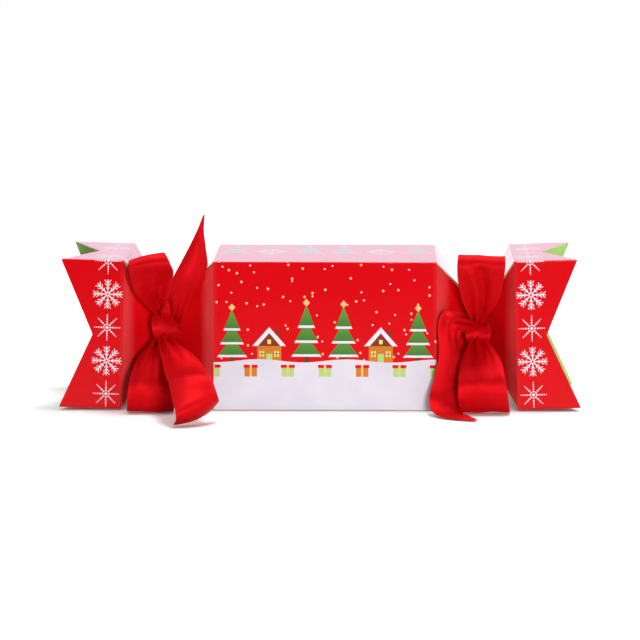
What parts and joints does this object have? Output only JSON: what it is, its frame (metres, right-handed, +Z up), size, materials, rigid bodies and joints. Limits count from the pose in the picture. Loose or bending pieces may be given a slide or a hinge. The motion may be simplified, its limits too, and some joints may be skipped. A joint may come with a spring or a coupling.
{
  "type": "christmas cracker",
  "caption": "Square paperboard gift carton pinched and tied with satin bows at both necks, with swallow-tail flared ends that pull away on a snap.",
  "frame": {"origin": "on the table under the middle of the body, at the centre of the bottom panel's outer face", "axes": "+X along the cracker to the viewer's right, +Y away from the bows, +Z up"},
  "size_m": [0.2614, 0.1201, 0.0989],
  "materials": {
    "printed_board": "gloss",
    "inner_board": "satin",
    "satin_ribbon": "satin",
    "snap_card": "matte",
    "friction_compound": "matte",
    "sleeve_paper": "matte",
    "tissue_paper": "matte",
    "slip_paper": "matte",
    "turned_wood": "satin"
  },
  "bodies": {
    "carton": {"body_front_panel": "printed_board", "body_top_panel": "printed_board", "body_back_panel": "printed_board", "body_bottom_panel": "printed_board", "body_glue_flap": "inner_board", "left_inner_neck_front": "printed_board", "left_inner_neck_top": "printed_board", "left_inner_neck_back": "printed_board", "left_inner_neck_bottom": "printed_board", "right_inner_neck_front": "printed_board", "right_inner_neck_top": "printed_board", "right_inner_neck_back": "printed_board", "right_inner_neck_bottom": "printed_board", "left_ribbon_wrap": "satin_ribbon", "left_bow_knot": "satin_ribbon", "left_bow_upper_loop": "satin_ribbon", "left_bow_lower_loop": "satin_ribbon", "right_ribbon_wrap": "satin_ribbon", "right_bow_knot": "satin_ribbon", "right_bow_upper_loop": "satin_ribbon", "right_bow_lower_loop": "satin_ribbon", "snap_sleeve": "sleeve_paper", "paper_crown": "tissue_paper", "motto_slip": "slip_paper", "spinning_top": "turned_wood"},
    "left_end": {"left_outer_neck_front": "printed_board", "left_outer_neck_top": "printed_board", "left_outer_neck_back": "printed_board", "left_outer_neck_bottom": "printed_board", "left_flare_front": "printed_board", "left_flare_top": "printed_board", "left_flare_back": "printed_board", "left_flare_bottom": "printed_board", "left_flare_glue_flap": "inner_board", "left_snap_strip": "snap_card", "snap_charge": "friction_compound"},
    "right_end": {"right_outer_neck_front": "printed_board", "right_outer_neck_top": "printed_board", "right_outer_neck_back": "printed_board", "right_outer_neck_bottom": "printed_board", "right_flare_front": "printed_board", "right_flare_top": "printed_board", "right_flare_back": "printed_board", "right_flare_bottom": "printed_board", "right_flare_glue_flap": "inner_board", "right_snap_strip": "snap_card", "snap_striker": "friction_compound"},
    "left_upper_tail": {"left_bow_upper_tail": "satin_ribbon"},
    "left_lower_tail": {"left_bow_lower_tail": "satin_ribbon"},
    "right_front_tail": {"right_bow_front_tail": "satin_ribbon"},
    "right_rear_tail": {"right_bow_rear_tail": "satin_ribbon"}
  },
  "joints": [
    {"name": "left_end_pull", "type": "slide", "parent": "carton", "child": "left_end", "axis": [-1, 0, 0], "range_m": [0, 0.12]},
    {"name": "right_end_pull", "type": "slide", "parent": "carton", "child": "right_end", "axis": [1, 0, 0], "range_m": [0, 0.12]},
    {"name": "left_upper_tail_pull", "type": "slide", "parent": "carton", "child": "left_upper_tail", "axis": [0.3001, -0.3501, 0.8873], "range_m": [0, 0.025]},
    {"name": "left_lower_tail_pull", "type": "slide", "parent": "carton", "child": "left_lower_tail", "axis": [0.2501, -0.9682, 0], "range_m": [0, 0.025]},
    {"name": "right_front_tail_pull", "type": "slide", "parent": "carton", "child": "right_front_tail", "axis": [-0.45, -0.893, 0], "range_m": [0, 0.025]},
    {"name": "right_rear_tail_pull", "type": "slide", "parent": "carton", "child": "right_rear_tail", "axis": [0, 0, 1], "range_m": [0, 0.025]}
  ]
}
